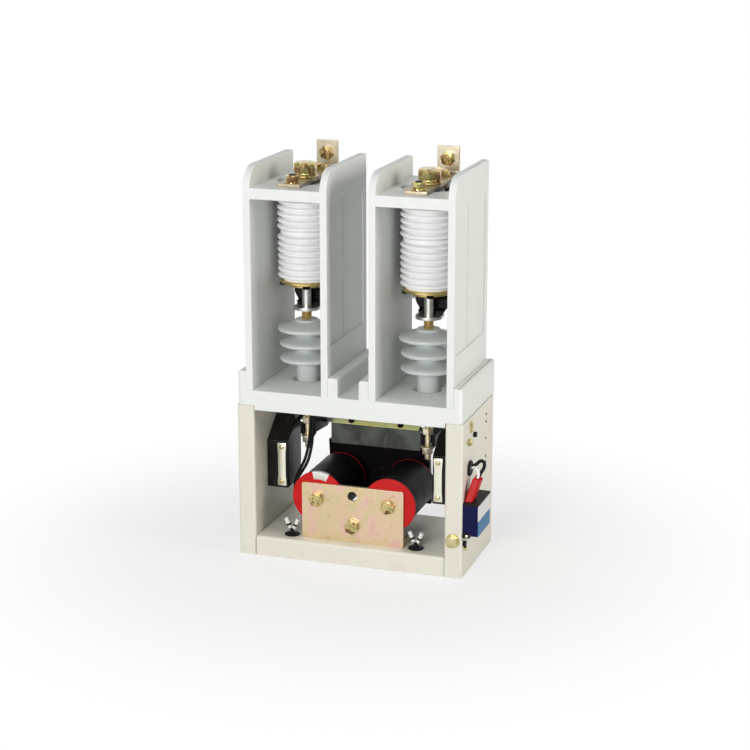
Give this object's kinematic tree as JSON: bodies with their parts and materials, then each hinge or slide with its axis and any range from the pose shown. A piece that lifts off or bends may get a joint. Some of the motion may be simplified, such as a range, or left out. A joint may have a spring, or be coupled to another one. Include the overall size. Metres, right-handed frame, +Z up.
{
  "type": "medium voltage vacuum contactor",
  "caption": "Open vacuum contactor: ribbed interrupters in moulded pole housings on a sheet steel frame, closed by a coil magnet through a rocker and drive insulators.",
  "frame": {"origin": "middle of the four foot holes, on the plane that the posts stand on", "axes": "+Z up, +X to the right seen from the open front, +Y to the terminals at the rear"},
  "size_m": [0.3205, 0.1715, 0.5215],
  "materials": {
    "frame_paint": "cream powder coat, satin",
    "moulding": "off-white glass filled moulding, satin",
    "ceramic": "white glaze",
    "ring_brass": "satin",
    "terminal_plating": "plated, slightly yellow",
    "bolt_plating": "plated",
    "stem_plating": "silver plated",
    "nut_brass": "satin",
    "flex_dark": "dark laminations",
    "insulator_grey": "moulded, slightly glossy",
    "stud_zinc": "yellow zinc",
    "shaft_steel": "ground steel",
    "hub_zinc": "yellow zinc",
    "rocker_black": "black",
    "armature_black": "blackened steel",
    "yoke_zinc": "yellow zinc, iridescent",
    "yoke_bolt_zinc": "yellow zinc",
    "core_iron": "bare iron",
    "bobbin_red": "red moulding",
    "winding_black": "black tape",
    "switch_black": "black moulding",
    "strip_plating": "bright plated",
    "grommet_rubber": "black",
    "sleeve_white": "white sleeving",
    "lead_black": "black insulation",
    "lead_white": "white insulation",
    "module_blue": "navy blue potting case",
    "cap_black": "black",
    "connector_red": "red insulation",
    "earth_brass": "brass"
  },
  "bodies": {
    "frame": {"left_side_post": "frame_paint", "right_side_post": "frame_paint", "base_tray": "frame_paint", "moulded_base": "moulding", "left_pole_housing": "moulding", "right_pole_housing": "moulding", "left_interrupter": "ceramic", "right_interrupter": "ceramic", "left_interrupter_ring": "ring_brass", "right_interrupter_ring": "ring_brass", "left_upper_terminal": "terminal_plating", "right_upper_terminal": "terminal_plating", "left_lower_terminal": "terminal_plating", "right_lower_terminal": "terminal_plating", "left_terminal_bolts": "bolt_plating", "right_terminal_bolts": "bolt_plating", "left_flex_connector": "flex_dark", "right_flex_connector": "flex_dark", "shaft_bearings": "rocker_black", "yoke_plate": "yoke_zinc", "yoke_bolts": "yoke_bolt_zinc", "magnet_cores": "core_iron", "left_bobbin": "bobbin_red", "right_bobbin": "bobbin_red", "left_winding": "winding_black", "right_winding": "winding_black", "left_aux_switch": "switch_black", "right_aux_switch": "switch_black", "left_aux_strip": "strip_plating", "right_aux_strip": "strip_plating", "lead_grommets": "grommet_rubber", "lead_sleeves": "sleeve_white", "inner_coil_lead": "lead_black", "outer_coil_lead": "lead_black", "black_module_lead": "lead_black", "white_module_lead": "lead_white", "control_module": "module_blue", "module_cap": "cap_black", "lead_connectors": "connector_red", "earth_bolt": "earth_brass"},
    "rocker": {"rocker_shaft": "shaft_steel", "rocker_hub": "hub_zinc", "rocker_arms": "rocker_black", "armature_plate": "armature_black"},
    "left_drive": {"left_moving_stem": "stem_plating", "left_stem_nut": "nut_brass", "left_drive_insulator": "insulator_grey", "left_drive_stud": "stud_zinc"},
    "right_drive": {"right_moving_stem": "stem_plating", "right_stem_nut": "nut_brass", "right_drive_insulator": "insulator_grey", "right_drive_stud": "stud_zinc"}
  },
  "joints": [
    {"name": "rocker_turn", "type": "hinge", "parent": "frame", "child": "rocker", "pos_m": [0, 0.05, 0.157], "axis": [-1, 0, 0], "range_deg": [0, 7.2]},
    {"name": "left_travel", "type": "slide", "parent": "frame", "child": "left_drive", "axis": [0, 0, 1], "range_m": [0, 0.006], "deforming": ["left_flex_connector"]},
    {"name": "right_travel", "type": "slide", "parent": "frame", "child": "right_drive", "axis": [0, 0, 1], "range_m": [0, 0.006], "deforming": ["right_flex_connector"]}
  ],
  "couplings": [
    {"joint": "left_travel", "follows": "rocker_turn", "m_per_rad": 0.047},
    {"joint": "right_travel", "follows": "rocker_turn", "m_per_rad": 0.047}
  ]
}
